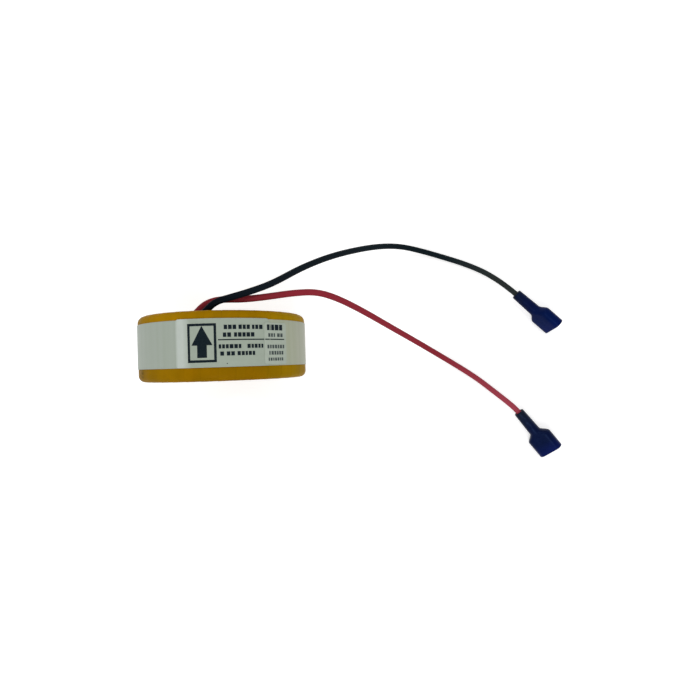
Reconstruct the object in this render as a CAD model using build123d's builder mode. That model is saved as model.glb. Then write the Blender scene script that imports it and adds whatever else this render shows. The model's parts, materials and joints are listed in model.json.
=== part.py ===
"""Toroidal current transformer: a taped ring resting on its rim, with two leads in insulated receptacles.

Millimetres. The ring's axis lies along Y, Z is up, the rim stands on z = 0 and the leads lie out towards +X.
Angles around the ring are measured from its top, positive towards +X.
"""
import os
from math import cos, degrees, pi, radians, sin, tan

from build123d import *

os.makedirs("parts", exist_ok=True)

# Bore, core and the layers around the core, from the inside out
bore_diameter = 37.0
core_depth = 6.16
core_width = 17.36
core_clearance = 0.1
cap_thickness = 0.8
cap_chamfer = 0.5
wire_diameter = 1.4
wire_sides = 6
turn_count = 40
winding_start_angle = 12.0
winding_end_angle = 344.0
winding_gap = 0.02
cavity_chamfer = 0.6
wrap_thickness = 0.8
ring_edge_radius = 2.4

# Band and labels on the rim
band_thickness = 0.15
band_width = 16.1
band_shift = 0.75
label_gap = 0.02
rating_label_thickness = 0.12
rating_label_width = 16.4
rating_label_start_angle = -16.6
rating_label_end_angle = 41.9
date_label_thickness = 0.1
date_label_width = 14.6
date_label_shift = 0.4
date_label_start_angle = 38.4
date_label_end_angle = 56.2

# Leads: where they leave the back face at a slant, and the route of each from there to its terminal
lead_diameter = 2.4
strand_diameter = 1.3
lead_hole_clearance = 0.05
lead_exit_slant = 45.0
lead_exit_run = 1.2
arc_run_share = 0.45
red_exit_inset = 4.4
red_exit_angle = -12.4
black_exit_inset = 7.9
black_exit_angle = -1.4
red_route = [
    (-1.7, 14.4, 54.0), (0.5, 15.55, 53.95), (3.1, 16.25, 53.85), (6.6, 16.45, 53.65), (11.8, 16.5, 53.4),
    (19.6, 17.3, 52.6), (29.3, 19.0, 49.6), (37.6, 19.9, 45.4), (45.2, 17.5, 40.0), (55.0, 12.8, 31.2),
    (66.0, 7.1, 20.8), (77.0, 1.4, 11.4), (87.4, -4.5, 4.5), (96.6, -10.0, 1.5), (105.4, -15.9, 1.25),
    (112.6, -21.7, 1.7),
]
black_route = [
    (2.4, 14.25, 58.0), (4.7, 15.55, 57.95), (8.7, 16.95, 57.5), (15.2, 19.1, 55.9), (22.8, 22.3, 52.3),
    (32.4, 28.8, 44.4), (43.0, 34.7, 34.4), (54.4, 39.7, 22.2), (64.4, 42.9, 13.0), (73.4, 43.9, 6.4),
    (82.6, 42.2, 2.6), (92.4, 39.3, 1.3), (103.0, 35.4, 1.3), (112.0, 30.8, 1.9),
]

# Terminals: the place of each wire entry on the floor, its heading and how far it is rolled on its side
red_terminal_x = 123.0
red_terminal_y = -31.5
red_terminal_heading = -52.0
red_terminal_roll = 30.0
black_terminal_x = 123.5
black_terminal_y = 20.7
black_terminal_heading = -43.0
black_terminal_roll = 66.0
terminal_lead_in = 4.6

# Tab that a terminal takes, and the strip that its receptacle is stamped from
tab_width = 6.3
tab_thickness = 0.8
strip_thickness = 0.4
roll_arc = 240.0
roll_seat_share = 0.4
terminal_clearance = 0.1

# Terminal sleeve, from its wire entry to its mouth
barrel_length = 10.8
shoulder_length = 3.4
housing_length = 8.0
barrel_wall = 0.475
barrel_taper = 0.6
barrel_edge_radius = 0.25
slot_side_clearance = 0.4
housing_side_wall = 1.18
housing_flat_wall = 1.32
housing_edge_radius = 0.35
section_round_share = 0.48
shoulder_place_shares = (0, 0.2, 0.5, 0.8, 1)
shoulder_growth_shares = (0, 0.08, 0.5, 0.92, 1)

# Lead end, ferrule, crimp barrel and receptacle in the sleeve
insulation_depth = 4.4
strand_gap = 0.4
strand_overhang = 0.5
ferrule_wall = 0.4
ferrule_setback = 0.6
ferrule_reach = 0.8
crimp_setback = 0.6
neck_length = 4.2
neck_width = 1.6
contact_setback = 1.0

# Worked out from the sizes above
core_room_depth = core_depth + 2 * core_clearance
core_room_width = core_width + 2 * core_clearance
cap_depth = core_room_depth + 2 * cap_thickness
cap_width = core_room_width + 2 * cap_thickness
winding_depth = cap_depth + 2 * wire_diameter
winding_width = cap_width + 2 * wire_diameter
winding_clearance = winding_gap + cavity_chamfer / 2
cavity_depth = winding_depth + 2 * winding_clearance
cavity_width = winding_width + 2 * winding_clearance
wrap_depth = cavity_depth + 2 * wrap_thickness
ring_width = cavity_width + 2 * wrap_thickness
bore_radius = bore_diameter / 2
middle_radius = bore_radius + wrap_depth / 2
ring_radius = bore_radius + wrap_depth
band_radius = ring_radius + band_thickness
axis_height = band_radius
red_exit_radius = bore_radius + red_exit_inset
black_exit_radius = bore_radius + black_exit_inset
exit_direction = Vector(sin(radians(lead_exit_slant)), cos(radians(lead_exit_slant)), 0)
exit_end_run = lead_diameter / 2 * tan(radians(lead_exit_slant))
exit_wall_run = wrap_thickness / cos(radians(lead_exit_slant))
ring_axis = Axis((0, 0, axis_height), (0, 1, 0))


def ring_point(radius, angle, y):
    """Point at a radius from the ring's axis and an angle from its top, at the height y along the axis."""
    return Vector(radius * sin(radians(angle)), y, axis_height + radius * cos(radians(angle)))


def section_plane(angle):
    """Plane through the ring's axis: its x is the radius at that angle and its y runs along the axis."""
    outward = Vector(sin(radians(angle)), 0, cos(radians(angle)))
    return Plane(origin=(0, 0, axis_height), x_dir=outward, z_dir=outward.cross(Vector(0, 1, 0)))


def export(part, name):
    part.label = name
    export_step(part, f"parts/{name}.step")


# Wound-strip core
with BuildPart() as steel_core:
    with BuildSketch(section_plane(0)):
        with Locations((middle_radius, 0)):
            Rectangle(core_depth, core_width)
    revolve(axis=ring_axis)
export(steel_core.part, "steel_core")


def core_cap(side):
    """Moulded channel over one half of the core; side is 1 for the +Y half and -1 for the -Y half."""
    with BuildPart() as cap:
        with BuildSketch(section_plane(0)):
            with Locations((middle_radius, 0)):
                Rectangle(cap_depth, cap_width)
            chamfer(vertices(), cap_chamfer)
            with Locations((middle_radius, 0)):
                Rectangle(core_room_depth, core_room_width, mode=Mode.SUBTRACT)
            with Locations((middle_radius, -side * cap_width / 2)):
                Rectangle(cap_depth, cap_width, mode=Mode.SUBTRACT)
        revolve(axis=ring_axis)
    return cap.part


export(core_cap(1), "back_core_cap")
export(core_cap(-1), "front_core_cap")

# Soldered joints, from the cap's face to the wrap, under the hole of each lead
lead_exits = {
    "red": (red_exit_radius, red_exit_angle),
    "black": (black_exit_radius, black_exit_angle),
}
cap_face = cap_width / 2
cavity_face = cavity_width / 2


def face_plane(radius, angle, y):
    """Plane across the ring's axis with its origin at a place on a flat face, looking out along +Y."""
    return Plane(origin=ring_point(radius, angle, y), x_dir=(1, 0, 0), z_dir=(0, 1, 0))


joints = {}
for colour, (radius, angle) in lead_exits.items():
    with BuildPart() as lead_joint:
        with BuildSketch(face_plane(radius, angle, cap_face)):
            Circle(lead_diameter / 2)
        extrude(amount=cavity_face - cap_face)
    joints[colour] = lead_joint.part
    export(lead_joint.part, f"{colour}_lead_joint")

# Secondary winding: one wire, from the black joint through all the turns to the red joint
wire_face = winding_width / 2 - wire_diameter / 2
wire_outer_radius = middle_radius + winding_depth / 2 - wire_diameter / 2
wire_inner_radius = middle_radius - winding_depth / 2 + wire_diameter / 2
turn_pitch = (winding_end_angle - winding_start_angle) / turn_count
wire_points = [
    ring_point(black_exit_radius, black_exit_angle, wire_face),
    ring_point(wire_outer_radius, winding_start_angle, wire_face),
]
for turn in range(turn_count):
    outer_angle = winding_start_angle + turn * turn_pitch
    inner_angle = outer_angle + turn_pitch / 2
    wire_points.append(ring_point(wire_outer_radius, outer_angle, -wire_face))
    wire_points.append(ring_point(wire_inner_radius, inner_angle, -wire_face))
    wire_points.append(ring_point(wire_inner_radius, inner_angle, wire_face))
    wire_points.append(ring_point(wire_outer_radius, outer_angle + turn_pitch, wire_face))
wire_points[-1] = ring_point(red_exit_radius, red_exit_angle, wire_face)
with BuildPart() as secondary_winding:
    with BuildLine():
        Polyline(*wire_points)
    with BuildSketch(Plane(origin=wire_points[0], z_dir=wire_points[1] - wire_points[0])):
        RegularPolygon(wire_diameter / 2, wire_sides)
    sweep(transition=Transition.RIGHT)
    add(list(joints.values()), mode=Mode.SUBTRACT)
export(secondary_winding.part, "secondary_winding")

# Tape wrap, hollow over the winding, with a slanted hole for each lead in its back face
with BuildPart() as outer_wrap:
    with BuildSketch(section_plane(0)):
        with Locations((middle_radius, 0)):
            RectangleRounded(wrap_depth, ring_width, ring_edge_radius)
    revolve(axis=ring_axis)
    with BuildSketch(section_plane(0)):
        with Locations((middle_radius, 0)):
            Rectangle(cavity_depth, cavity_width)
        chamfer(vertices(), cavity_chamfer)
    revolve(axis=ring_axis, mode=Mode.SUBTRACT)
    for radius, angle in lead_exits.values():
        with BuildSketch(Plane(origin=ring_point(radius, angle, cavity_face), z_dir=exit_direction)):
            Circle(lead_diameter / 2 + lead_hole_clearance)
        extrude(amount=exit_wall_run + 2 * exit_end_run, both=True, mode=Mode.SUBTRACT)
export(outer_wrap.part, "outer_wrap")


def rim_sheet(width, shift, arcs):
    """Thin sheet stuck around the rim, of arcs that each have an inner and an outer radius and two angles."""
    with BuildPart() as sheet:
        for inner_radius, outer_radius, start_angle, end_angle in arcs:
            with BuildSketch(section_plane(start_angle)):
                with Locations(((inner_radius + outer_radius) / 2, shift)):
                    Rectangle(outer_radius - inner_radius, width)
            revolve(axis=ring_axis, revolution_arc=end_angle - start_angle)
    return sheet.part


def rim_angle(length):
    """Angle that a length along the rim takes up."""
    return degrees(length / band_radius)


# Band all round the rim, and the label on it, flush with the band's front edge
export(rim_sheet(band_width, band_shift, [(ring_radius, band_radius, 0, 360)]), "label_band")
rating_inner_radius = band_radius + label_gap
rating_outer_radius = rating_inner_radius + rating_label_thickness
rating_label_shift = band_shift + (rating_label_width - band_width) / 2
rating_label = rim_sheet(
    rating_label_width, rating_label_shift,
    [(rating_inner_radius, rating_outer_radius, rating_label_start_angle, rating_label_end_angle)],
)
export(rating_label, "rating_label")

# Small label that starts on the end of the rating label and steps down to the band
high_inner_radius = rating_outer_radius + label_gap
high_outer_radius = high_inner_radius + date_label_thickness
low_outer_radius = rating_inner_radius + date_label_thickness
step_start_angle = rating_label_end_angle + rim_angle(label_gap)
step_end_angle = step_start_angle + rim_angle(date_label_thickness)
date_label = rim_sheet(
    date_label_width, date_label_shift,
    [
        (high_inner_radius, high_outer_radius, date_label_start_angle, step_end_angle),
        (rating_inner_radius, high_outer_radius, step_start_angle, step_end_angle),
        (rating_inner_radius, low_outer_radius, step_start_angle, date_label_end_angle),
    ],
)
export(date_label, "date_label")


# Receptacle: its rolled edges leave room for the tab
roll_radius = (tab_thickness + strip_thickness + terminal_clearance) / (1 + sin(radians(roll_arc - 90)))
roll_offset = tab_width / 2 - roll_seat_share * roll_radius
contact_width = 2 * (roll_offset + roll_radius) + strip_thickness
contact_height = 2 * roll_radius + strip_thickness
strip_level = -contact_height / 2 + strip_thickness / 2

# Sleeve around the receptacle and the ferrule
cavity_slot_width = contact_width + 2 * slot_side_clearance
cavity_slot_height = contact_height + 2 * terminal_clearance
housing_width = cavity_slot_width + 2 * housing_side_wall
housing_thickness = cavity_slot_height + 2 * housing_flat_wall
housing_round = section_round_share * housing_thickness
ferrule_diameter = lead_diameter + 2 * ferrule_wall
ferrule_hole_diameter = ferrule_diameter + 2 * terminal_clearance
barrel_entry_diameter = ferrule_hole_diameter + 2 * barrel_wall
barrel_diameter = barrel_entry_diameter + barrel_taper
housing_start = barrel_length + shoulder_length
sleeve_length = housing_start + housing_length

# Places along a terminal's axis, from its wire entry
crimp_diameter = lead_diameter - terminal_clearance
crimp_start = insulation_depth + strand_gap
crimp_end = barrel_length - crimp_setback
ferrule_end = crimp_end - ferrule_reach
strand_end = crimp_end + strand_overhang
contact_start = crimp_end + neck_length
contact_end = sleeve_length - contact_setback


def terminal_plane(x, y, heading, roll):
    """Place of a terminal lying on the floor: x along its axis to the mouth, y across the housing."""
    lean = (housing_width / 2 - housing_round) * sin(radians(roll))
    rise = (housing_thickness / 2 - housing_round) * cos(radians(roll))
    height = max(lean + rise + housing_round, barrel_diameter / 2)
    along = Vector(cos(radians(heading)), sin(radians(heading)), 0)
    upright = Vector(0, 0, 1).rotate(Axis((0, 0, 0), along), roll)
    return Plane(origin=(x, y, height), x_dir=along, z_dir=upright)


def across(place, along):
    """Plane across a terminal's axis at a distance from its wire entry, with x across the housing."""
    return Plane(origin=place.from_local_coords(Vector(along, 0, 0)), x_dir=place.y_dir, z_dir=place.x_dir)


def sleeve_section(place, along, width, thickness):
    """Outer section of a sleeve: round ended, and nearly a circle where it is as thick as it is wide."""
    with BuildSketch(across(place, along)) as section:
        RectangleRounded(width, thickness, section_round_share * min(width, thickness))
    return section.sketch


def terminal_sleeve(place):
    """Moulded sleeve: tapered wire barrel, shoulder and flat housing, open through from entry to mouth."""
    along_axis = Axis(place.origin, place.x_dir)
    entry_section = sleeve_section(place, 0, barrel_entry_diameter, barrel_entry_diameter)
    shoulder_sections = []
    for place_share, growth_share in zip(shoulder_place_shares, shoulder_growth_shares):
        along = barrel_length + place_share * shoulder_length
        width = barrel_diameter + growth_share * (housing_width - barrel_diameter)
        thickness = barrel_diameter + growth_share * (housing_thickness - barrel_diameter)
        shoulder_sections.append(sleeve_section(place, along, width, thickness))
    with BuildPart() as sleeve:
        loft([entry_section, shoulder_sections[0]], ruled=True)
        entry = sleeve.faces().sort_by(along_axis)[0]
        fillet(entry.edges(), barrel_edge_radius)
        loft(shoulder_sections)
        extrude(shoulder_sections[-1], amount=housing_length)
        mouth = sleeve.faces().sort_by(along_axis)[-1]
        fillet(mouth.edges(), housing_edge_radius)
        with BuildSketch(across(place, 0)):
            Circle(ferrule_hole_diameter / 2)
        extrude(amount=housing_start, mode=Mode.SUBTRACT)
        with BuildSketch(across(place, housing_start)):
            SlotOverall(cavity_slot_width, cavity_slot_height)
        extrude(amount=housing_length, mode=Mode.SUBTRACT)
    return sleeve.part


def terminal_receptacle(place):
    """Stamped strip with both edges rolled over the tab's place, a neck and a closed crimp barrel."""
    roll_level = strip_level + roll_radius
    with BuildPart() as receptacle:
        with BuildSketch(across(place, contact_start)):
            with BuildLine():
                Line((-roll_offset, strip_level), (roll_offset, strip_level))
                CenterArc((roll_offset, roll_level), roll_radius, -90, roll_arc)
                CenterArc((-roll_offset, roll_level), roll_radius, -90, -roll_arc)
            trace(line_width=strip_thickness)
        extrude(amount=contact_end - contact_start)
        with BuildSketch(across(place, crimp_start)):
            Circle(crimp_diameter / 2)
            Circle(strand_diameter / 2, mode=Mode.SUBTRACT)
        extrude(amount=crimp_end - crimp_start)
        side_view = Plane(origin=place.origin, x_dir=place.x_dir, z_dir=-place.y_dir)
        with BuildSketch(side_view):
            with BuildLine():
                Polyline(
                    (crimp_end - strip_thickness, -crimp_diameter / 2),
                    (crimp_end, -crimp_diameter / 2),
                    (contact_start, strip_level - strip_thickness / 2),
                    (contact_start + strip_thickness, strip_level - strip_thickness / 2),
                    (contact_start + strip_thickness, strip_level + strip_thickness / 2),
                    (contact_start, strip_level + strip_thickness / 2),
                    (crimp_end, strip_thickness - crimp_diameter / 2),
                    (crimp_end - strip_thickness, strip_thickness - crimp_diameter / 2),
                    close=True,
                )
            make_face()
        extrude(amount=neck_width / 2, both=True)
    return receptacle.part


def tube(place, start, end, outer_diameter, inner_diameter):
    """Round tube along a terminal's axis, or a rod where the inner diameter is zero."""
    with BuildPart() as round_tube:
        with BuildSketch(across(place, start)):
            Circle(outer_diameter / 2)
            if inner_diameter:
                Circle(inner_diameter / 2, mode=Mode.SUBTRACT)
        extrude(amount=end - start)
    return round_tube.part


def corner_radii(points):
    """Largest arcs that the runs of a route leave room for."""
    radii = []
    for before, corner, after in zip(points, points[1:], points[2:]):
        turn = (corner - before).get_angle(after - corner)
        run = min((corner - before).length, (after - corner).length)
        radii.append(arc_run_share * run / tan(radians(turn / 2)))
    return radii


def lead(colour, exit_place, route, place):
    """Lead from inside the wrap, where it ends flush, along its route into the terminal."""
    radius, angle = exit_place
    exit_point = ring_point(radius, angle, cavity_face)
    points = [exit_point - exit_direction * exit_end_run, exit_point + exit_direction * lead_exit_run]
    points.extend(Vector(*point) for point in route)
    points.append(place.from_local_coords(Vector(-terminal_lead_in, 0, 0)))
    points.append(place.from_local_coords(Vector(insulation_depth, 0, 0)))
    radii = corner_radii(points)
    with BuildPart() as lead_tube:
        with BuildLine() as path:
            FilletPolyline(*points, radius=radii)
        with BuildSketch(Plane(origin=points[0], z_dir=exit_direction)):
            Circle(lead_diameter / 2)
        sweep()
        with BuildSketch(face_plane(radius, angle, cavity_face)):
            Circle(lead_diameter + exit_end_run)
        extrude(amount=-2 * exit_end_run, mode=Mode.SUBTRACT)
    length = sum(edge.length for edge in path.edges()) - exit_end_run
    volume_share = lead_tube.part.volume / (pi * lead_diameter**2 / 4 * length)
    print(colour, "lead: length", round(length, 1), "volume share", round(volume_share, 4))
    print(colour, "lead: radii", [round(corner_radius, 1) for corner_radius in radii])
    return lead_tube.part


terminals = {
    "red": terminal_plane(red_terminal_x, red_terminal_y, red_terminal_heading, red_terminal_roll),
    "black": terminal_plane(black_terminal_x, black_terminal_y, black_terminal_heading, black_terminal_roll),
}
routes = {"red": red_route, "black": black_route}
for colour, place in terminals.items():
    export(terminal_sleeve(place), f"{colour}_terminal_sleeve")
    export(terminal_receptacle(place), f"{colour}_terminal_receptacle")
    ferrule = tube(place, ferrule_setback, ferrule_end, ferrule_diameter, lead_diameter)
    export(ferrule, f"{colour}_terminal_ferrule")
    strands = tube(place, insulation_depth, strand_end, strand_diameter, 0)
    export(strands, f"{colour}_lead_strands")
    export(lead(colour, lead_exits[colour], routes[colour], place), f"{colour}_lead")
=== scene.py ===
"""Looks of a toroidal current transformer: a taped ring on its rim, with two leads in insulated terminals.

Metres. The ring's axis lies along Y, Z is up and the rim stands on the floor.
Angles around the ring are in degrees from its top, positive towards +X.
"""
import json
import random
from math import asin, cos, degrees, radians, sin

import bmesh
import bpy
from mathutils import Matrix, Vector, noise


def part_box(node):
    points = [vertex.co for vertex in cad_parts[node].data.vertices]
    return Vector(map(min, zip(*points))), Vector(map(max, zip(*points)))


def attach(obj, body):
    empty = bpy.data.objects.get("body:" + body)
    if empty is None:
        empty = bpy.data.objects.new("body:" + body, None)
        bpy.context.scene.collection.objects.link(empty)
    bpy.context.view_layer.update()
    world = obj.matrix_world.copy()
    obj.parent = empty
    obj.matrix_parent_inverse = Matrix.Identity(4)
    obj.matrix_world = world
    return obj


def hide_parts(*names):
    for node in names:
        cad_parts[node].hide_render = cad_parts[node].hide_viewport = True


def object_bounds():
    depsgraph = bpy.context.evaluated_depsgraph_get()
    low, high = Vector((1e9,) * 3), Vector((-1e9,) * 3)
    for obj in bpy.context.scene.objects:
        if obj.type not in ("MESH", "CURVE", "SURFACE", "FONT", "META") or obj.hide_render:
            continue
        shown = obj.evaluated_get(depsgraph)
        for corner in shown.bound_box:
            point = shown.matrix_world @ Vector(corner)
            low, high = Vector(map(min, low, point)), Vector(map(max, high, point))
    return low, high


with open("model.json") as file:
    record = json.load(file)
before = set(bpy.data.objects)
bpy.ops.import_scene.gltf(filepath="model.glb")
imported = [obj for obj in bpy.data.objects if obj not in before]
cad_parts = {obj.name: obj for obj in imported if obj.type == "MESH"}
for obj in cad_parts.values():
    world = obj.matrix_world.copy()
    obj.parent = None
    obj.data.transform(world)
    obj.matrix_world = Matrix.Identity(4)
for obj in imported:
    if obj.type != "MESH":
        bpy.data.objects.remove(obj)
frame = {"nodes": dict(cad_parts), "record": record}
cad_low, cad_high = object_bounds()
nodes = frame["nodes"]
mounts = {mount["name"]: mount for mount in frame["record"]["mounts"]}
MM = 0.001

# Sockets of a mix node that hold its factor and colours
mix_color_inputs = (0, 6, 7)
mix_color_output = 2

# View of the photograph
camera_place = Vector((49.2, -6.9, 239.95)) * MM
camera_pitch = 1.27
camera_roll = -1.84
camera_lens = 27.33
camera_sensor = 36.0
camera_clip = 10 * MM

# Floor, world and lamps
floor_size = 24.0
floor_color = (0.8, 0.8, 0.8, 1)
floor_white = 0.5
world_horizon = 1.0
world_zenith = 0.35
lamp_target = Vector((50, 0, 20)) * MM
lamp_size = 200 * MM
key_place = Vector((45, -250, 400)) * MM
key_power = 0.6
fill_place = Vector((35, 230, 420)) * MM
fill_power = 0.45

# Ring: its size from the solid, with the edge and the hollow of the wrap
wrap_low, wrap_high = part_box("outer_wrap")
ring_radius = (wrap_high.x - wrap_low.x) / 2
ring_half_width = wrap_high.y
axis_height = (wrap_high.z + wrap_low.z) / 2
bore_radius = mounts["bore"]["dims"]["r_mm"] * MM
ring_half_depth = (ring_radius - bore_radius) / 2
middle_radius = bore_radius + ring_half_depth
ring_edge_radius = 2.4 * MM
wall_thickness = 0.8 * MM
hollow_bevel = 0.6 * MM

# Tape around the ring: laps of one strip, each over the edge of the one before
lap_count = 34
lap_step = 0.05 * MM
lap_shares = (0.0, 0.02, 0.3, 0.6, 0.98, 1.0)
tape_wave = 0.03 * MM
tape_wave_scale = 90.0
smudge_angle = -52.0
smudge_y = -9.0 * MM
smudge_radius = 2.2 * MM

# Fineness of the meshes
corner_steps = 6
rim_steps = 12
face_steps = 6
hollow_steps = 72
band_steps = 288
sharp_angle = 50.0

# Band and labels: places from their solids, with thicknesses and bends
band_low, band_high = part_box("label_band")
band_radius = (band_high.z - band_low.z) / 2
rating_low, rating_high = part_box("rating_label")
rating_radius = rating_high.z - axis_height
rating_start = degrees(asin(rating_low.x / rating_radius))
rating_end = degrees(asin(rating_high.x / rating_radius))
date_low, date_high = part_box("date_label")
label_gap = 0.02 * MM
label_thickness = 0.105 * MM
label_corner = 1.0 * MM
label_bend = -9.2
label_lift = 0.06 * MM
date_thickness = 0.08 * MM
date_radius = band_radius + label_gap + date_thickness
date_start = degrees(asin(date_low.x / (rating_radius + label_gap)))
date_end = degrees(asin(date_high.x / date_radius))
date_ramp = 2.4
ink_thickness = 0.012 * MM
sheet_grid = 0.75 * MM
join_distance = 0.001 * MM

# Print on the labels: an arrow in a frame, a rule and rows of word-length marks
arrow_frame = (-8.73, 8.72, -5.62 * MM, 7.42 * MM)
frame_line = 0.85 * MM
arrow_middle = 0.05
arrow_head_half = 6.35
arrow_shaft_half = 2.92
arrow_tip = 6.66 * MM
arrow_base = 0.1 * MM
arrow_foot = -4.06 * MM
rule_line = 0.4 * MM
rule_y = 1.85 * MM
rating_rule = (9.65, 40.0)
date_rule = (38.9, 54.4)
rating_words = [
    (13.2, 20.6, 6.1 * MM, 1.5 * MM), (22.0, 29.0, 6.1 * MM, 1.5 * MM), (30.4, 37.4, 6.1 * MM, 1.5 * MM),
    (12.6, 17.4, 3.5 * MM, 1.5 * MM), (19.2, 31.8, 3.5 * MM, 1.5 * MM),
    (10.0, 23.4, -0.4 * MM, 1.4 * MM), (27.2, 37.6, -0.4 * MM, 1.4 * MM),
    (10.8, 13.0, -2.8 * MM, 1.4 * MM), (14.6, 19.4, -2.8 * MM, 1.4 * MM), (21.0, 32.0, -2.8 * MM, 1.4 * MM),
]
date_heavy_words = [(40.4, 52.8, 6.0 * MM, 2.0 * MM)]
date_light_words = [
    (41.2, 46.6, 3.3 * MM, 1.3 * MM), (48.2, 53.0, 3.3 * MM, 1.3 * MM),
    (40.4, 54.2, -0.7 * MM, 1.3 * MM), (41.6, 53.2, -2.9 * MM, 1.3 * MM), (41.0, 53.0, -5.1 * MM, 1.1 * MM),
]
mark_pitch_share = 0.86
mark_gap = 0.3 * MM
mark_spread_share = 0.18
speck_angle = 14.4
speck_y = -6.3 * MM
speck_size = 0.35 * MM
print_seed = 5

# Leads: the points of each route in millimetres, from inside the wrap to inside the terminal
lead_diameter = 2.4 * MM
red_route = [
    (-5.341, 10.876, 54.016), (-4.069, 12.149, 54.016),
    (-1.7, 14.4, 54.0), (0.5, 15.55, 53.95), (3.1, 16.25, 53.85), (6.6, 16.45, 53.65), (11.8, 16.25, 53.4),
    (19.6, 16.9, 52.6), (29.3, 18.45, 49.6), (37.6, 19.2, 45.4), (45.2, 17.2, 40.0), (55.0, 12.8, 31.2),
    (66.0, 7.1, 20.8), (77.0, 1.4, 11.4), (87.4, -4.41, 4.5), (96.6, -9.95, 1.5), (105.4, -15.87, 1.25),
    (112.6, -21.84, 1.7), (119.6, -28.01, 3.7), (123.0, -31.5, 4.005), (125.709, -34.967, 4.005),
]
black_route = [
    (-1.069, 10.876, 58.042), (0.204, 12.149, 58.042),
    (2.4, 14.25, 58.0), (4.7, 15.55, 57.95), (8.7, 16.6, 57.5), (15.2, 18.6, 55.9), (22.8, 21.8, 52.3),
    (32.4, 28.5, 44.4), (43.0, 34.4, 34.4), (54.4, 39.3, 22.2), (64.4, 42.3, 13.0), (73.4, 43.25, 6.4),
    (82.6, 41.75, 2.6), (92.4, 38.9, 1.3), (103.0, 35.2, 1.3), (112.0, 30.8, 1.9),
    (120.136, 23.837, 5.226), (126.718, 17.699, 5.226),
]
lead_reach = 125 * MM
lead_order = 3
lead_steps = 10
lead_round_steps = 6
lead_hole_clearance = 0.05 * MM
lead_hole_sides = 32
lead_hole_reach = 9 * MM

# Terminal sleeves: rolls in degrees and sizes in millimetres, with places from the wire entry
terminal_rolls = {"red": 30.0, "black": 66.0}
sleeve_length = 22.2
barrel_length = 10.8
shoulder_length = 3.4
barrel_entry = 4.35
barrel_end = 4.95
housing_width = 10.9
housing_thickness = 4.973
section_round_share = 0.48
entry_round = 0.25
mouth_round = 0.35
slot_width = 8.54
slot_height = 2.333
hole_diameter = 3.4
crimp_places = (3.6, 7.4)
crimp_depth = 0.26
crimp_half_length = 1.1
crimp_half_width = 1.3
barrel_steps = 24
shoulder_steps = 12
round_steps = 4
section_corner_steps = 8
section_flat_steps = 4
sleeve_sheen = (0.25, 0.45, 1.0, 1.0)


def srgb(red, green, blue):
    """Linear colour of a screen colour given from 0 to 255."""
    channels = []
    for value in (red, green, blue):
        share = value / 255
        channels.append(share / 12.92 if share <= 0.04045 else ((share + 0.055) / 1.055) ** 2.4)
    return (*channels, 1.0)


# Helpers for materials
def new_material(name, color, roughness, specular=0.5, metallic=0.0):
    """Material with the values that are the same all over it; returns it with its shader."""
    material = bpy.data.materials.new(name)
    material.use_nodes = True
    shader = material.node_tree.nodes["Principled BSDF"]
    shader.inputs["Base Color"].default_value = color
    shader.inputs["Roughness"].default_value = roughness
    shader.inputs["Specular IOR Level"].default_value = specular
    shader.inputs["Metallic"].default_value = metallic
    return material, shader


def add_node(material, kind, **values):
    """Node of a kind in a material, with its properties and inputs set by name."""
    node = material.node_tree.nodes.new(kind)
    for key, value in values.items():
        if hasattr(node, key):
            setattr(node, key, value)
        else:
            node.inputs[key].default_value = value
    return node


def link(material, source, target):
    material.node_tree.links.new(source, target)


def part_place(material):
    """Place on the surface in the part's own frame."""
    return add_node(material, "ShaderNodeTexCoord").outputs["Object"]


def noise_value(material, scale, detail=3.0, stretch=(1, 1, 1)):
    """Noise in the part's own frame, with its scale multiplied along each axis."""
    mapping = add_node(material, "ShaderNodeMapping", Scale=stretch)
    texture = add_node(material, "ShaderNodeTexNoise", Scale=scale, Detail=detail)
    link(material, part_place(material), mapping.inputs["Vector"])
    link(material, mapping.outputs["Vector"], texture.inputs["Vector"])
    return texture.outputs["Fac"]


def in_range(material, value, start, end, low=0.0, high=1.0):
    """Value that goes from low to high while another goes from start to end."""
    node = add_node(material, "ShaderNodeMapRange")
    for name, number in (("From Min", start), ("From Max", end), ("To Min", low), ("To Max", high)):
        node.inputs[name].default_value = number
    link(material, value, node.inputs["Value"])
    return node.outputs["Result"]


def share_along(material, axis, start, end):
    """Share of the way from start to end along an axis of the part."""
    axes = add_node(material, "ShaderNodeSeparateXYZ")
    link(material, part_place(material), axes.inputs["Vector"])
    return in_range(material, axes.outputs[axis], start, end)


def near_place(material, place, radius):
    """1 at a place of the part, falling to 0 at a radius from it."""
    distance = add_node(material, "ShaderNodeVectorMath", operation="DISTANCE")
    distance.inputs[1].default_value = place
    link(material, part_place(material), distance.inputs[0])
    return in_range(material, distance.outputs["Value"], radius, 0.0)


def attribute(material, name):
    return add_node(material, "ShaderNodeAttribute", attribute_name=name).outputs["Fac"]


def ramp(material, value, stops):
    """Colour of a value between stops of (place, colour)."""
    node = add_node(material, "ShaderNodeValToRGB")
    elements = node.color_ramp.elements
    while len(elements) < len(stops):
        elements.new(0.5)
    for element, (place, color) in zip(elements, stops):
        element.position = place
        element.color = color
    link(material, value, node.inputs["Fac"])
    return node.outputs["Color"]


def multiplied(material, color, layer, share=None):
    """Colour multiplied by a layer, all over or by a share."""
    node = add_node(material, "ShaderNodeMix", data_type="RGBA", blend_type="MULTIPLY")
    factor, first, second = (node.inputs[number] for number in mix_color_inputs)
    factor.default_value = 1.0
    if share:
        link(material, share, factor)
    link(material, color, first)
    link(material, layer, second)
    return node.outputs[mix_color_output]


def add_bump(material, shader, value, strength, distance):
    bump = add_node(material, "ShaderNodeBump", Strength=strength, Distance=distance)
    link(material, value, bump.inputs["Height"])
    link(material, bump.outputs["Normal"], shader.inputs["Normal"])


def vary_roughness(material, shader, value, low, high):
    link(material, in_range(material, value, 0.0, 1.0, low, high), shader.inputs["Roughness"])


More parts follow.
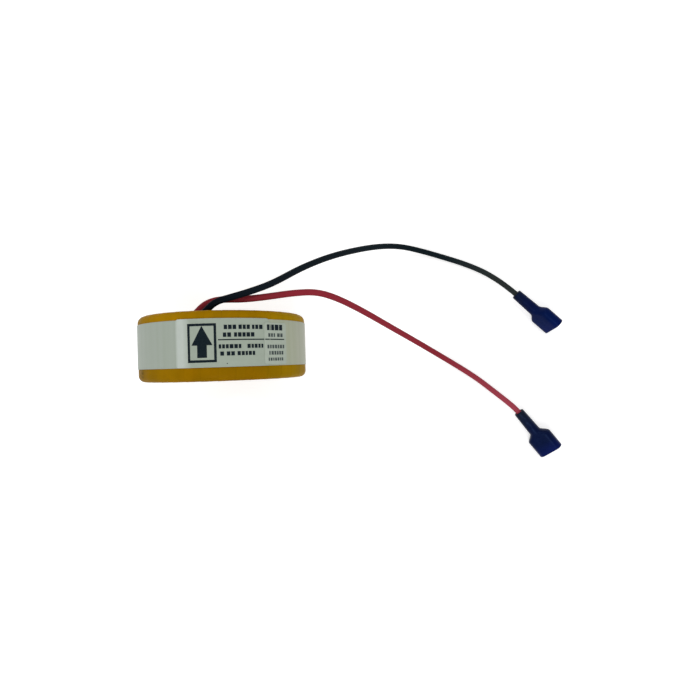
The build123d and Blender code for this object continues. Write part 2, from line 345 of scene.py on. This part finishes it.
# Materials
def tape_material():
    """Amber film tape: patches of tone, a fine line at each lap, wrinkles and a smudge, with painted light
    that is lighter left of the top, towards the +X end and towards the +Y edge.
    """
    material, shader = new_material("tape", srgb(141, 104, 8), roughness=0.4, specular=0.01)
    # Painted light: the tone around the ring is lighter left of its top and towards its +X end, where more
    # light falls.
    color = ramp(material, attribute(material, "side"), [
        (0.0, srgb(140, 106, 2)), (0.3, srgb(152, 112, 4)), (0.44, srgb(141, 102, 1)),
        (0.78, srgb(136, 99, 1)), (0.95, srgb(152, 119, 4)),
    ])
    patches = ramp(material, noise_value(material, scale=110), [
        (0.3, (0.88, 0.91, 0.8, 1)), (0.5, (1, 1, 1, 1)), (0.7, (1.12, 1.08, 1.0, 1)),
    ])
    laps = ramp(material, attribute(material, "lap"), [
        (0.0, (0.88, 0.87, 0.84, 1)), (0.03, (1, 1, 1, 1)), (0.5, (1, 1, 1, 1)),
        (0.56, (0.97, 0.96, 0.95, 1)), (1.0, (0.98, 0.98, 0.97, 1)),
    ])
    # Painted light: darker towards the -Y edge of the tape and lighter towards its +Y edge, where more light
    # falls.
    across = ramp(material, share_along(material, "Y", -ring_half_width, ring_half_width), [
        (0.0, (0.93, 0.91, 0.9, 1)), (1.0, (1.17, 1.17, 1.1, 1)),
    ])
    for layer in (patches, laps, across):
        color = multiplied(material, color, layer)
    specks = ramp(material, noise_value(material, scale=900), [
        (0.45, (0.3, 0.36, 0.3, 1)), (0.6, (1, 1, 1, 1)),
    ])
    smudge = near_place(material, ring_point(ring_radius, smudge_angle, smudge_y), smudge_radius)
    link(material, multiplied(material, color, specks, smudge), shader.inputs["Base Color"])
    wrinkles = noise_value(material, scale=420, detail=2.0, stretch=(1, 0.3, 1))
    vary_roughness(material, shader, wrinkles, low=0.3, high=0.5)
    add_bump(material, shader, wrinkles, strength=0.25, distance=0.05 * MM)
    return material


def band_material():
    """Pale film band: greyish to the left, yellower to the right, painted lighter at both ends of the rim
    where more light falls, with faint streaks across it.
    """
    material, shader = new_material("band", srgb(160, 169, 157), roughness=0.45, specular=0.15)
    # Painted light at both ends of the rim; the yellower tone to the right is the band's own.
    around = ramp(material, attribute(material, "side"), [
        (0.0, srgb(166, 175, 165)), (0.34, srgb(160, 169, 158)), (0.9, srgb(161, 167, 145)),
        (1.0, srgb(170, 174, 157)),
    ])
    streaks = ramp(material, noise_value(material, scale=700, detail=2.0, stretch=(1, 0.03, 1)), [
        (0.3, (0.94, 0.95, 0.92, 1)), (0.6, (1, 1, 1, 1)),
    ])
    link(material, multiplied(material, around, streaks), shader.inputs["Base Color"])
    add_bump(material, shader, noise_value(material, scale=900), strength=0.08, distance=0.03 * MM)
    return material


def rating_label_material():
    """Label paper with a painted highlight over the end that lifts from the band."""
    material, shader = new_material("rating_label", srgb(157, 167, 152), roughness=0.5, specular=0.15)
    # Painted highlight: lighter over the first end of the label, where it lifts from the band.
    along = ramp(material, attribute(material, "along"), [
        (0.0, srgb(168, 177, 167)), (0.025, srgb(185, 193, 186)), (0.08, srgb(185, 193, 186)),
        (0.17, srgb(155, 165, 152)),
    ])
    fibres = ramp(material, noise_value(material, scale=600, detail=4.0), [
        (0.3, (0.97, 0.97, 0.96, 1)), (0.7, (1.02, 1.02, 1.02, 1)),
    ])
    link(material, multiplied(material, along, fibres), shader.inputs["Base Color"])
    add_bump(material, shader, noise_value(material, scale=1500), strength=0.1, distance=0.03 * MM)
    return material


def date_label_material():
    """Small label paper, a shade cooler than the one under it."""
    material, shader = new_material("date_label", srgb(156, 166, 152), roughness=0.5, specular=0.15)
    fibres = ramp(material, noise_value(material, scale=500, detail=4.0), [
        (0.3, srgb(160, 170, 156)), (0.7, srgb(168, 177, 165)),
    ])
    link(material, fibres, shader.inputs["Base Color"])
    add_bump(material, shader, noise_value(material, scale=1500), strength=0.1, distance=0.03 * MM)
    return material


def ink_material(name, dark, pale):
    """Printing ink, a little uneven."""
    material, shader = new_material(name, dark, roughness=0.5, specular=0.05)
    cover = ramp(material, noise_value(material, scale=1800), [(0.35, dark), (0.75, pale)])
    link(material, cover, shader.inputs["Base Color"])
    return material


def vinyl_material(name, tones):
    """Extruded vinyl with painted shade near the ring and painted light towards its far end, with clouds of
    tone and a fine skin.
    """
    material, shader = new_material(name, tones[0][1], roughness=0.4, specular=0.02)
    # Painted light and shade: the tones darken near the ring and pale towards the far end.
    along = ramp(material, share_along(material, "X", 0.0, lead_reach), tones)
    clouds = ramp(material, noise_value(material, scale=60), [
        (0.3, (0.92, 0.86, 0.86, 1)), (0.7, (1.08, 1.14, 1.14, 1)),
    ])
    link(material, multiplied(material, along, clouds), shader.inputs["Base Color"])
    skin = noise_value(material, scale=900)
    vary_roughness(material, shader, skin, low=0.34, high=0.46)
    add_bump(material, shader, skin, strength=0.06, distance=0.05 * MM)
    return material


def sleeve_material(name, specular, tones):
    """Dark blue vinyl with a blue sheen, darker over the wire entry and bluer towards the mouth."""
    material, shader = new_material(name, tones[0][1], roughness=0.28, specular=specular)
    shader.inputs["Specular Tint"].default_value = sleeve_sheen
    along = ramp(material, attribute(material, "along"), tones)
    clouds = ramp(material, noise_value(material, scale=160), [
        (0.3, (0.8, 0.8, 0.82, 1)), (0.7, (1.15, 1.15, 1.12, 1)),
    ])
    link(material, multiplied(material, along, clouds), shader.inputs["Base Color"])
    skin = noise_value(material, scale=500, detail=2.0)
    vary_roughness(material, shader, skin, low=0.22, high=0.34)
    add_bump(material, shader, skin, strength=0.08, distance=0.06 * MM)
    return material


def metal_material(name, dark, pale, roughness, scale, stretch=(1, 1, 1)):
    """Bare metal with uneven tarnish and a fine grain."""
    material, shader = new_material(name, pale, roughness, metallic=1.0)
    grain = noise_value(material, scale, detail=4.0, stretch=stretch)
    link(material, ramp(material, grain, [(0.3, dark), (0.7, pale)]), shader.inputs["Base Color"])
    spread = 0.08
    vary_roughness(material, shader, grain, low=roughness - spread, high=roughness + spread)
    add_bump(material, shader, grain, strength=0.1, distance=0.03 * MM)
    return material


def moulded_material(name, dark, pale):
    """Moulded nylon with a faint flow pattern."""
    material, shader = new_material(name, pale, roughness=0.5, specular=0.4)
    flow = ramp(material, noise_value(material, scale=80), [(0.3, dark), (0.7, pale)])
    link(material, flow, shader.inputs["Base Color"])
    add_bump(material, shader, noise_value(material, scale=800), strength=0.1, distance=0.03 * MM)
    return material


# Helpers for pieces
def add_piece(piece_name, data, material, replaced=()):
    """Object of a mesh or curve that rides on the part and stands for the solids it names."""
    piece = bpy.data.objects.new(piece_name, data)
    bpy.context.scene.collection.objects.link(piece)
    data.materials.append(material)
    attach(piece, "root")
    if replaced:
        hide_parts(*replaced)
    return piece


def mesh_of(mesh_name, shape, hollow=()):
    """Mesh of a bmesh, smooth but for its sharp edges; the faces of a hollow are turned inwards."""
    bmesh.ops.recalc_face_normals(shape, faces=shape.faces)
    bmesh.ops.reverse_faces(shape, faces=hollow)
    mesh = bpy.data.meshes.new(mesh_name)
    shape.to_mesh(mesh)
    shape.free()
    mesh.shade_smooth()
    mesh.set_sharp_from_angle(angle=radians(sharp_angle))
    return mesh


def close_rows(shape, rows):
    """Faces between rows of points, where both the rows and each row close on themselves."""
    faces = []
    for row, next_row in zip(rows, rows[1:] + rows[:1]):
        for place in range(len(row)):
            after = (place + 1) % len(row)
            faces.append(shape.faces.new((row[place], next_row[place], next_row[after], row[after])))
    return faces


def rounded_rectangle(half_width, half_height, radius, steps, flat_steps):
    """Points around a rectangle with round corners, with steps on each corner and on its flats in turn."""
    corners = [(1, 1), (-1, 1), (-1, -1), (1, -1)]
    arcs = []
    for number, (width_sign, height_sign) in enumerate(corners):
        center = Vector((width_sign * (half_width - radius), height_sign * (half_height - radius)))
        turns = [radians(90 * (number + step / steps)) for step in range(steps + 1)]
        arcs.append([center + radius * Vector((cos(turn), sin(turn))) for turn in turns])
    outline = []
    for number, arc in enumerate(arcs):
        start, end = arc[-1], arcs[(number + 1) % len(arcs)][0]
        count = flat_steps[number % len(flat_steps)]
        outline += arc + [start.lerp(end, step / count) for step in range(1, count)]
    return outline


# Ring
def ring_point(radius, angle, y):
    """Point at a radius from the ring's axis and an angle from its top."""
    return Vector((radius * sin(radians(angle)), y, axis_height + radius * cos(radians(angle))))


def side_share(angle):
    """Share of the way across the ring from its -X side at an angle from its top."""
    return (1 + sin(radians(angle))) / 2


def ring_section(inset):
    """Points around the ring's section from the middle of its rim: radius, y and share of the way round."""
    outline = rounded_rectangle(
        ring_half_depth - inset, ring_half_width - inset, ring_edge_radius - inset,
        steps=corner_steps, flat_steps=(face_steps, rim_steps),
    )
    half_rim = rim_steps // 2
    outline = outline[-half_rim:] + outline[:-half_rim]
    lengths = [0.0]
    for before, after in zip(outline, outline[1:] + outline[:1]):
        lengths.append(lengths[-1] + (after - before).length)
    return [
        (middle_radius + point.x, point.y, length / lengths[-1]) for point, length in zip(outline, lengths)
    ]


def tape_wrap():
    """Ring of lapped tape with a hollow for the winding; every lap runs round the section to the next."""
    shape = bmesh.new()
    lap_layer = shape.verts.layers.float.new("lap")
    side_layer = shape.verts.layers.float.new("side")
    section = ring_section(0)
    inner_section = ring_section(lap_step + tape_wave)
    pitch = 360 / lap_count
    rows = []
    for lap in range(lap_count):
        for lap_share in lap_shares:
            row = []
            for (radius, y, share), (inner_radius, inner_y, _) in zip(section, inner_section):
                angle = (lap + lap_share + share) * pitch
                wave = 0.5 + 0.5 * noise.noise(ring_point(radius, angle, y) * tape_wave_scale)
                sink = (lap_step * lap_share + tape_wave * wave) / (lap_step + tape_wave)
                spot_radius = radius + sink * (inner_radius - radius)
                spot = shape.verts.new(ring_point(spot_radius, angle, y + sink * (inner_y - y)))
                spot[lap_layer] = lap_share
                spot[side_layer] = side_share(angle)
                row.append(spot)
            rows.append(row)
    steps = len(lap_shares)
    for number, row in enumerate(rows):
        first = row + rows[(number + steps) % len(rows)][:1]
        second = rows[(number + 1) % len(rows)] + rows[(number + steps + 1) % len(rows)][:1]
        for place in range(len(row)):
            shape.faces.new((first[place], first[place + 1], second[place + 1], second[place]))
    mesh = mesh_of("tape_wrap", shape, add_hollow(shape))
    piece = add_piece("tape_wrap", mesh, tape_material(), ["outer_wrap"])
    for route in (red_route, black_route):
        cut_lead_hole(piece, Vector(route[0]) * MM, Vector(route[1]) * MM)


def add_hollow(shape):
    """Faces of the hollow inside the wrap, one wall thickness under its skin, with bevelled corners."""
    section = rounded_rectangle(
        ring_half_depth - wall_thickness, ring_half_width - wall_thickness, hollow_bevel,
        steps=1, flat_steps=(1,),
    )
    rows = []
    for step in range(hollow_steps):
        angle = 360 * step / hollow_steps
        rows.append([
            shape.verts.new(ring_point(middle_radius + point.x, angle, point.y)) for point in section
        ])
    return close_rows(shape, rows)


def cut_lead_hole(piece, inside, outside):
    """Round hole through the wrap where a lead leaves it."""
    cutter = bmesh.new()
    turn = (outside - inside).to_track_quat("Z", "Y").to_matrix().to_4x4()
    radius = lead_diameter / 2 + lead_hole_clearance
    bmesh.ops.create_cone(
        cutter, cap_ends=True, segments=lead_hole_sides, radius1=radius, radius2=radius,
        depth=lead_hole_reach, matrix=Matrix.Translation(inside) @ turn,
    )
    cutter_mesh = bpy.data.meshes.new("lead_hole")
    cutter.to_mesh(cutter_mesh)
    cutter.free()
    cutter_piece = bpy.data.objects.new("lead_hole", cutter_mesh)
    bpy.context.scene.collection.objects.link(cutter_piece)
    boolean = piece.modifiers.new("lead_hole", "BOOLEAN")
    boolean.operation = "DIFFERENCE"
    boolean.solver = "EXACT"
    boolean.object = cutter_piece
    graph = bpy.context.evaluated_depsgraph_get()
    piece.data = bpy.data.meshes.new_from_object(piece.evaluated_get(graph))
    piece.modifiers.clear()
    bpy.data.objects.remove(cutter_piece)


def label_band():
    """Band all round the rim: a closed hoop."""
    shape = bmesh.new()
    side_layer = shape.verts.layers.float.new("side")
    profile = [
        (ring_radius, band_low.y), (band_radius, band_low.y),
        (band_radius, band_high.y), (ring_radius, band_high.y),
    ]
    rows = []
    for step in range(band_steps):
        angle = 360 * step / band_steps
        row = [shape.verts.new(ring_point(radius, angle, y)) for radius, y in profile]
        for spot in row:
            spot[side_layer] = side_share(angle)
        rows.append(row)
    close_rows(shape, rows)
    add_piece("rim_band", mesh_of("rim_band", shape), band_material(), ["label_band"])


# Labels and their print
def label_outline(start, end, low, high):
    """Label with round corners on the rim, as (angle, y) points."""
    middle = Vector((radians(start + end) / 2 * rating_radius, (low + high) / 2))
    half_length = radians(end - start) / 2 * rating_radius
    outline = rounded_rectangle(
        half_length, (high - low) / 2, label_corner, steps=corner_steps, flat_steps=(1,),
    )
    return [(degrees((middle.x + point.x) / rating_radius), middle.y + point.y) for point in outline]


def bar(start, end, low, high):
    """Plain rectangle on the rim, as (angle, y) points."""
    return [(start, low), (end, low), (end, high), (start, high)]


def rim_plates(plate_name, outlines, radius_at, thickness, material, replaced=()):
    """Thin closed plates around the rim, from outlines of (angle, y) points; those that touch join."""
    shape = bmesh.new()
    for outline in outlines:
        shape.faces.new([shape.verts.new((radians(angle) * rating_radius, y, 0)) for angle, y in outline])
    bmesh.ops.remove_doubles(shape, verts=shape.verts, dist=join_distance)
    angles = [angle for outline in outlines for angle, _ in outline]
    heights = [y for outline in outlines for _, y in outline]
    start, end = min(angles), max(angles)
    cut_into_strips(shape, radians(start) * rating_radius, radians(end) * rating_radius, Vector((1, 0, 0)))
    cut_into_strips(shape, min(heights), max(heights), Vector((0, 1, 0)))
    raised = bmesh.ops.extrude_face_region(shape, geom=shape.faces[:])
    for item in raised["geom"]:
        if isinstance(item, bmesh.types.BMVert):
            item.co.z = thickness
    along_layer = shape.verts.layers.float.new("along")
    for spot in shape.verts:
        angle = degrees(spot.co.x / rating_radius)
        spot[along_layer] = (angle - start) / (end - start)
        spot.co = ring_point(radius_at(angle) + spot.co.z, angle, spot.co.y)
    add_piece(plate_name, mesh_of(plate_name, shape), material, replaced)


def cut_into_strips(shape, low, high, direction):
    """Cuts flat outlines into strips, so that they can bend."""
    for step in range(1, int((high - low) / sheet_grid) + 1):
        bmesh.ops.bisect_plane(
            shape, geom=shape.verts[:] + shape.edges[:] + shape.faces[:],
            plane_co=direction * (low + step * sheet_grid), plane_no=direction,
        )


def rating_face(angle):
    """Radius of the rating label's underside, which lifts a little at its first end."""
    lift = 0.0
    if angle < label_bend:
        lift = label_lift * ((label_bend - angle) / (label_bend - rating_start)) ** 2
    return band_radius + label_gap + lift


def date_face(angle):
    """Radius of the small label's underside, which comes down from the rating label to the band."""
    share = min(max((angle - rating_end) / date_ramp, 0), 1)
    high = rating_radius + label_gap
    return high + eased(share) * (band_radius + label_gap - high)


def eased(share):
    """Share that starts and ends gently."""
    return share * share * (3 - 2 * share)


def rating_ink_face(angle):
    return rating_face(angle) + label_thickness


def date_ink_face(angle):
    return date_face(angle) + date_thickness


def word_marks(words, draws):
    """Plain marks of slightly uneven width that fill each word's place on a row."""
    outlines = []
    gap = degrees(mark_gap / rating_radius)
    for start, end, middle, height in words:
        pitch = degrees(mark_pitch_share * height / rating_radius)
        count = max(1, round((end - start) / pitch))
        weights = [1 + draws.uniform(-mark_spread_share, mark_spread_share) for _ in range(count)]
        room = (end - start + gap) / sum(weights)
        angle = start
        for weight in weights:
            outlines.append(bar(angle, angle + weight * room - gap, middle - height / 2, middle + height / 2))
            angle += weight * room
    return outlines


def rule_bar(start, end):
    return bar(start, end, rule_y - rule_line / 2, rule_y + rule_line / 2)


def frame_cells(start, end, low, high):
    """Cells of a rectangular frame, which join into one plate."""
    line_angle = degrees(frame_line / rating_radius)
    angles = [start, start + line_angle, end - line_angle, end]
    heights = [low, low + frame_line, high - frame_line, high]
    cells = [(column, row) for column in range(3) for row in range(3) if (column, row) != (1, 1)]
    return [bar(*angles[column:column + 2], *heights[row:row + 2]) for column, row in cells]


def arrow_outlines():
    """Head and shaft of an arrow along the ring's axis, which join into one plate."""
    shaft_start, shaft_end = arrow_middle - arrow_shaft_half, arrow_middle + arrow_shaft_half
    head = [
        (arrow_middle - arrow_head_half, arrow_base), (shaft_start, arrow_base), (shaft_end, arrow_base),
        (arrow_middle + arrow_head_half, arrow_base), (arrow_middle, arrow_tip),
    ]
    return [head, bar(shaft_start, shaft_end, arrow_foot, arrow_base)]


def labels():
    """Both labels with their print."""
    rim_plates(
        "rating_sheet", [label_outline(rating_start, rating_end, rating_low.y, rating_high.y)],
        rating_face, label_thickness, rating_label_material(), ["rating_label"],
    )
    rim_plates(
        "date_sheet", [label_outline(date_start, date_end, date_low.y, date_high.y)],
        date_face, date_thickness, date_label_material(), ["date_label"],
    )
    draws = random.Random(print_seed)
    ink = ink_material("ink", srgb(14, 25, 32), srgb(25, 36, 42))
    light_ink = ink_material("light_ink", srgb(58, 66, 66), srgb(88, 96, 94))
    rule_start, rule_end = rating_rule
    speck_end = speck_angle + degrees(speck_size / rating_radius)
    marks = [
        *frame_cells(*arrow_frame),
        *arrow_outlines(),
        rule_bar(rule_start, min(rule_end, date_start)),
        bar(speck_angle, speck_end, speck_y, speck_y + speck_size),
        *word_marks(rating_words, draws),
    ]
    rim_plates("rating_print", marks, rating_ink_face, ink_thickness, ink)
    heavy = [rule_bar(*date_rule), *word_marks(date_heavy_words, draws)]
    rim_plates("date_heavy_print", heavy, date_ink_face, ink_thickness, ink)
    light = word_marks(date_light_words, draws)
    rim_plates("date_light_print", light, date_ink_face, ink_thickness, light_ink)


# Leads and terminals
def lead(colour, route, material):
    """Lead along a smooth line through its route, which ends inside its terminal."""
    curve = bpy.data.curves.new(f"{colour}_lead_line", "CURVE")
    curve.dimensions = "3D"
    spline = curve.splines.new("NURBS")
    spline.points.add(len(route) - 1)
    for point, place in zip(spline.points, route):
        point.co = (*(Vector(place) * MM), 1)
    spline.order_u = lead_order
    spline.use_endpoint_u = True
    spline.resolution_u = lead_steps
    curve.bevel_depth = lead_diameter / 2
    curve.bevel_resolution = lead_round_steps
    curve.use_fill_caps = True
    piece = add_piece(f"{colour}_lead_line", curve, material, [f"{colour}_lead"])


def terminal_place(colour):
    """Frame of a terminal: x along it from the wire entry, y across the housing, z up from its flat."""
    mount = mounts[f"{colour}_tab_slot"]
    along = Vector(mount["axis"]).normalized()
    entry = Vector(mount["pos_m"]) - along * sleeve_length * MM
    upright = Matrix.Rotation(radians(terminal_rolls[colour]), 3, along) @ Vector((0, 0, 1))
    sideways = upright.cross(along)
    turn = Matrix((along, sideways, upright)).transposed().to_4x4()
    return Matrix.Translation(entry) @ turn


def sleeve_ring(width, thickness):
    """Points around a sleeve's section, in millimetres across and up from its axis."""
    radius = section_round_share * min(width, thickness)
    return rounded_rectangle(
        width / 2, thickness / 2, radius, steps=section_corner_steps, flat_steps=(section_flat_steps,),
    )


def sleeve_outside():
    """Stations along a sleeve's outside from its entry to its mouth: along, width and thickness."""
    stations = []
    for step in range(round_steps + 1):
        turn = radians(90 * step / round_steps)
        diameter = barrel_entry - 2 * entry_round * (1 - sin(turn))
        stations.append((entry_round * (1 - cos(turn)), diameter, diameter))
    for step in range(1, barrel_steps + 1):
        share = step / barrel_steps
        diameter = barrel_entry + share * (barrel_end - barrel_entry)
        stations.append((entry_round + share * (barrel_length - entry_round), diameter, diameter))
    for step in range(1, shoulder_steps + 1):
        share = step / shoulder_steps
        width = barrel_end + eased(share) * (housing_width - barrel_end)
        thickness = barrel_end + eased(share) * (housing_thickness - barrel_end)
        stations.append((barrel_length + share * shoulder_length, width, thickness))
    for step in range(round_steps + 1):
        turn = radians(90 * step / round_steps)
        inset = 2 * mouth_round * (1 - cos(turn))
        along = sleeve_length - mouth_round * (1 - sin(turn))
        stations.append((along, housing_width - inset, housing_thickness - inset))
    return stations


def sleeve_inside():
    """Stations along a sleeve's inside from its mouth back to its entry: along, width and thickness."""
    housing_start = barrel_length + shoulder_length
    return [
        (sleeve_length, slot_width, slot_height), (housing_start, slot_width, slot_height),
        (housing_start, hole_diameter, hole_diameter), (0.0, hole_diameter, hole_diameter),
    ]


def crimp_sink(along, across, up):
    """How far the crimping tool has pressed the barrel in at a place, in millimetres."""
    sink = 0.0
    for place in crimp_places:
        near = max(0.0, 1 - ((along - place) / crimp_half_length) ** 2)
        middle = max(0.0, 1 - (across / crimp_half_width) ** 2)
        sink = max(sink, crimp_depth * near * middle)
    return sink if up > 0 else -sink


def terminal_sleeve(colour, material):
    """Sleeve as one closed shell, with crimp marks on both sides of its barrel."""
    place = terminal_place(colour)
    shape = bmesh.new()
    along_layer = shape.verts.layers.float.new("along")
    outside = sleeve_outside()
    rings = []
    for number, (along, width, thickness) in enumerate(outside + sleeve_inside()):
        ring = []
        for across, up in sleeve_ring(width, thickness):
            sink = crimp_sink(along, across, up) if number < len(outside) else 0.0
            spot = shape.verts.new(place @ (Vector((along, across, up - sink)) * MM))
            spot[along_layer] = along / sleeve_length
            ring.append(spot)
        rings.append(ring)
    close_rows(shape, rings)
    mesh = mesh_of(f"{colour}_sleeve_shell", shape)
    return add_piece(f"{colour}_sleeve_shell", mesh, material, [f"{colour}_terminal_sleeve"])


def leads_and_terminals():
    # Both sleeves are the same dark blue vinyl; their separate tones are painted light and shade, set for how
    # each sleeve lies.
    red_sleeve_vinyl = sleeve_material("red_sleeve_vinyl", specular=0.1, tones=[
        (0.0, srgb(21, 27, 39)), (0.4, srgb(11, 20, 53)), (0.75, srgb(9, 19, 55)), (1.0, srgb(12, 23, 82)),
    ])
    black_sleeve_vinyl = sleeve_material("black_sleeve_vinyl", specular=0.05, tones=[
        (0.0, srgb(16, 24, 48)), (0.3, srgb(12, 21, 62)), (0.75, srgb(6, 23, 72)), (1.0, srgb(8, 22, 78)),
    ])
    red_sleeve = terminal_sleeve("red", red_sleeve_vinyl)
    black_sleeve = terminal_sleeve("black", black_sleeve_vinyl)
    # Tones along the leads hold painted shade near the ring and painted light at the far end.
    red_vinyl = vinyl_material("red_vinyl", [
        (0.14, srgb(124, 38, 45)), (0.24, srgb(137, 41, 52)), (0.72, srgb(139, 44, 55)),
        (0.94, srgb(157, 63, 77)),
    ])
    black_vinyl = vinyl_material("black_vinyl", [
        (0.05, srgb(7, 13, 20)), (0.16, srgb(18, 26, 32)), (0.74, srgb(16, 26, 31)), (0.92, srgb(43, 49, 49)),
    ])
    lead("red", red_route, red_vinyl)
    lead("black", black_route, black_vinyl)


# Solids that keep their own shape
def paint(material, *names):
    for name in names:
        for slot in nodes[name].material_slots:
            slot.material = material


def paint_solids():
    steel = metal_material(
        "core_steel", srgb(96, 98, 102), srgb(140, 143, 147), roughness=0.4, scale=900, stretch=(1, 0.05, 1),
    )
    nylon = moulded_material("nylon", srgb(206, 202, 190), srgb(222, 218, 206))
    enamel = metal_material(
        "enamelled_copper", srgb(150, 74, 40), srgb(186, 98, 56), roughness=0.3, scale=300,
    )
    solder = metal_material("solder", srgb(150, 152, 156), srgb(190, 192, 195), roughness=0.3, scale=700)
    copper = metal_material("copper", srgb(176, 100, 62), srgb(206, 130, 88), roughness=0.35, scale=900)
    brass = metal_material("tinned_brass", srgb(150, 146, 136), srgb(196, 192, 182), roughness=0.3, scale=600)
    paint(steel, "steel_core")
    paint(nylon, "front_core_cap", "back_core_cap")
    paint(enamel, "secondary_winding")
    for colour in ("red", "black"):
        paint(solder, f"{colour}_lead_joint")
        paint(copper, f"{colour}_lead_strands")
        paint(brass, f"{colour}_terminal_receptacle", f"{colour}_terminal_ferrule")


# Scene
def add_camera():
    data = bpy.data.cameras.new("camera")
    data.lens = camera_lens
    data.sensor_width = camera_sensor
    data.clip_start = camera_clip
    camera = bpy.data.objects.new("camera", data)
    bpy.context.scene.collection.objects.link(camera)
    pitch = Matrix.Rotation(radians(camera_pitch), 4, "X")
    roll = Matrix.Rotation(radians(camera_roll), 4, "Z")
    camera.matrix_world = Matrix.Translation(camera_place) @ pitch @ roll
    bpy.context.scene.camera = camera


def add_floor():
    """White floor that takes the object's shadow."""
    shape = bmesh.new()
    bmesh.ops.create_grid(shape, x_segments=1, y_segments=1, size=floor_size / 2)
    mesh = bpy.data.meshes.new("floor")
    shape.to_mesh(mesh)
    shape.free()
    floor = bpy.data.objects.new("floor", mesh)
    floor.location.z = cad_low.z
    bpy.context.scene.collection.objects.link(floor)
    material, shader = new_material("floor", floor_color, roughness=1.0, specular=0.0)
    shader.inputs["Emission Color"].default_value = (1, 1, 1, 1)
    strength = in_range(material, seen_rays(material), 0.0, 1.0, 0.0, floor_white)
    link(material, strength, shader.inputs["Emission Strength"])
    mesh.materials.append(material)


def seen_rays(material):
    """1 for rays that show the background: camera, glossy and transmission rays."""
    rays = add_node(material, "ShaderNodeLightPath")
    seen = rays.outputs["Is Camera Ray"]
    for name in ("Is Glossy Ray", "Is Transmission Ray"):
        larger = add_node(material, "ShaderNodeMath", operation="MAXIMUM")
        link(material, seen, larger.inputs[0])
        link(material, rays.outputs[name], larger.inputs[1])
        seen = larger.outputs["Value"]
    return seen


def add_light():
    """Surroundings that are white at the horizon and greyer overhead, and soft lamps in front and behind."""
    world = bpy.data.worlds.new("studio")
    world.use_nodes = True
    bpy.context.scene.world = world
    background = world.node_tree.nodes["Background"]
    background.inputs["Color"].default_value = (1, 1, 1, 1)
    direction = add_node(world, "ShaderNodeTexCoord")
    axes = add_node(world, "ShaderNodeSeparateXYZ")
    link(world, direction.outputs["Generated"], axes.inputs["Vector"])
    strength = in_range(world, axes.outputs["Z"], 0.0, 1.0, world_horizon, world_zenith)
    link(world, strength, background.inputs["Strength"])
    add_lamp("key", key_place, key_power)
    add_lamp("fill", fill_place, fill_power)


def add_lamp(name, place, power):
    """Soft square lamp that looks at the object."""
    light = bpy.data.lights.new(name, "AREA")
    light.size = lamp_size
    light.energy = power
    lamp = bpy.data.objects.new(name, light)
    lamp.location = place
    lamp.rotation_mode = "QUATERNION"
    lamp.rotation_quaternion = (lamp_target - place).to_track_quat("-Z", "Y")
    bpy.context.scene.collection.objects.link(lamp)


bpy.context.scene.view_settings.view_transform = "Standard"
add_camera()
add_floor()
add_light()
leads_and_terminals()
tape_wrap()
label_band()
labels()
paint_solids()
